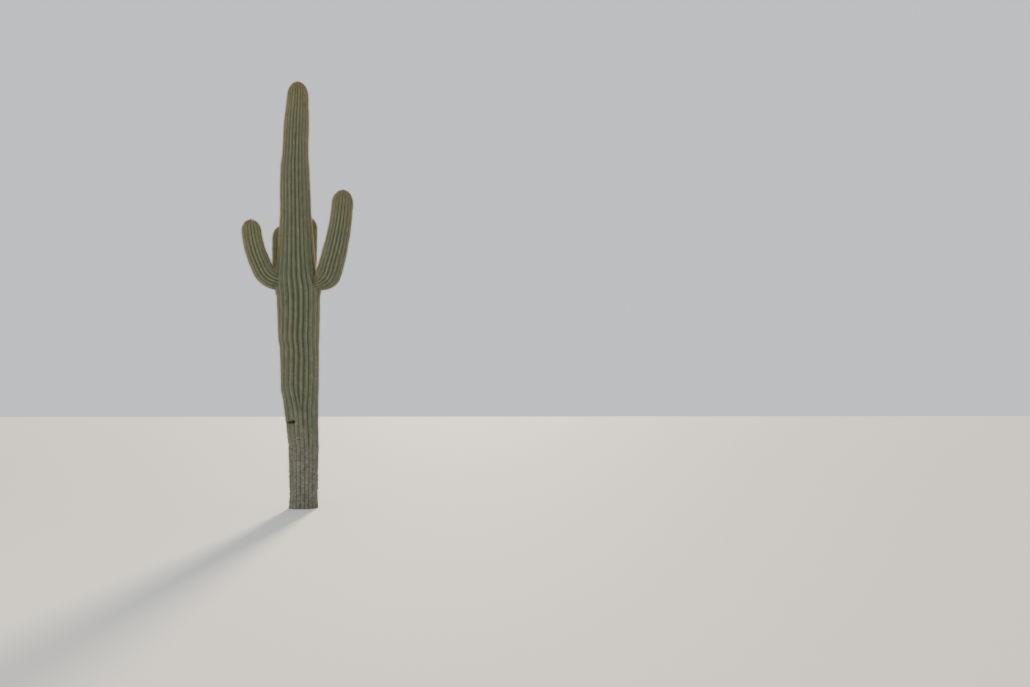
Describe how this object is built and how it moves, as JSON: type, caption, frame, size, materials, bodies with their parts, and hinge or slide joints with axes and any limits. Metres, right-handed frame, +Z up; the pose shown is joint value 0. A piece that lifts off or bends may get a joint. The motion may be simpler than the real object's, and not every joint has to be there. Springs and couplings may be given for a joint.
{
  "type": "saguaro cactus",
  "caption": "Tall ribbed columnar cactus: a slightly bowed trunk, thickest at mid height, with upturned arms, cut flat at the ground it is rooted in.",
  "frame": {"origin": "middle of the flat cut where the trunk meets the ground", "axes": "+Z up the trunk; -Y is the side the picture shows, with +X to its right"},
  "size_m": [1.6359, 1.0475, 6.5],
  "materials": {
    "skin": "satin",
    "felt": "matte",
    "spines": "satin"
  },
  "bodies": {
    "root": {"trunk": "skin", "arm_left_elbow": "skin", "arm_left_upright": "skin", "arm_right_elbow": "skin", "arm_right_upright": "skin", "arm_back_left_elbow": "skin", "arm_back_left_upright": "skin", "arm_back_right_elbow": "skin", "arm_back_right_upright": "skin"}
  },
  "joints": []
}
